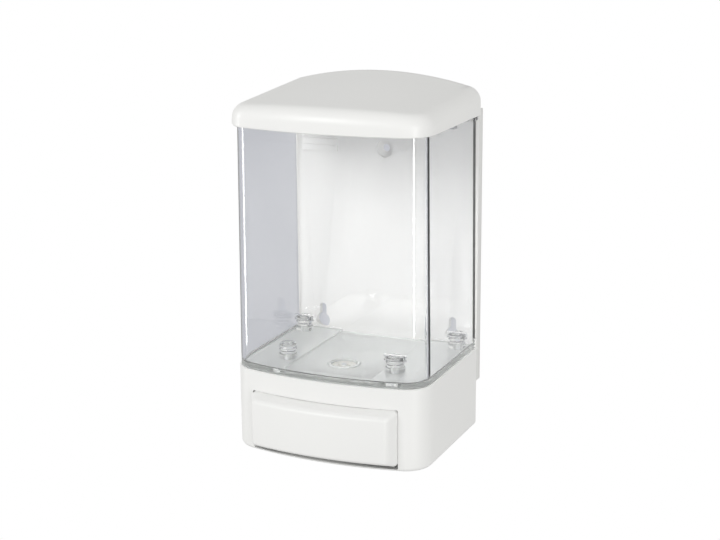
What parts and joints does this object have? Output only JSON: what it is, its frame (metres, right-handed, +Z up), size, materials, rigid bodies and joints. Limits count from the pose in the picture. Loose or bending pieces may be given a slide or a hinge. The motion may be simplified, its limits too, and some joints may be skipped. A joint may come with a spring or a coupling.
{
  "type": "wall mounted soap dispenser",
  "caption": "Wall mounted bulk-fill soap dispenser: clear tank with a lift-off domed lid, on a base with a sprung push bar and a piston pump, hung on a screwed wall plate.",
  "frame": {"origin": "centre of the top screw hole where it meets the wall", "axes": "+Z up, +X to the right as seen from the front, the front faces -Y and the wall is the plane y = 0"},
  "size_m": [0.1156, 0.103, 0.2032],
  "materials": {
    "white_plastic": "semi-gloss moulded ABS",
    "clear_plastic": "clear moulded SAN",
    "grey_plastic": "matt moulded ABS",
    "pump_plastic": "natural acetal",
    "black_rubber": "matt",
    "clear_silicone": "translucent silicone",
    "steel": "bright stainless"
  },
  "bodies": {
    "wall_plate": {"back_plate": "white_plastic"},
    "dispenser": {"housing": "white_plastic", "tank": "clear_plastic", "pivot_rod": "steel", "pump_bracket": "grey_plastic", "bracket_screws": "steel", "housing_screws": "steel", "pump_body": "pump_plastic", "front_guide": "pump_plastic", "pump_spring": "steel", "pump_end_cap": "pump_plastic", "end_cap_seal": "black_rubber", "neck_o_ring": "black_rubber", "inlet_valve_seat": "pump_plastic", "inlet_valve": "clear_silicone", "outlet_valve": "clear_silicone", "outlet_nozzle": "white_plastic"},
    "lid_body": {"lid": "white_plastic"},
    "bar": {"push_bar": "white_plastic"},
    "plunger_body": {"plunger": "pump_plastic", "piston_seal": "black_rubber"}
  },
  "joints": [
    {"name": "dispenser_lift", "type": "slide", "parent": "wall_plate", "child": "dispenser", "axis": [0, 0, 1], "range_m": [0, 0.0065]},
    {"name": "lid_lift", "type": "slide", "parent": "dispenser", "child": "lid_body", "axis": [0, 0, 1], "range_m": [0, 0.06]},
    {"name": "bar_hinge", "type": "hinge", "parent": "dispenser", "child": "bar", "pos_m": [0, -0.082, -0.12], "axis": [1, 0, 0], "range_deg": [0, 15], "stiffness_Nm_per_rad": 0.45, "springref_deg": -6.88},
    {"name": "plunger_slide", "type": "slide", "parent": "dispenser", "child": "plunger_body", "axis": [0, 1, 0], "range_m": [0, 0.0057], "deforming": ["pump_spring"]}
  ],
  "couplings": [
    {"joint": "plunger_slide", "follows": "bar_hinge", "m_per_rad": 0.021737}
  ]
}
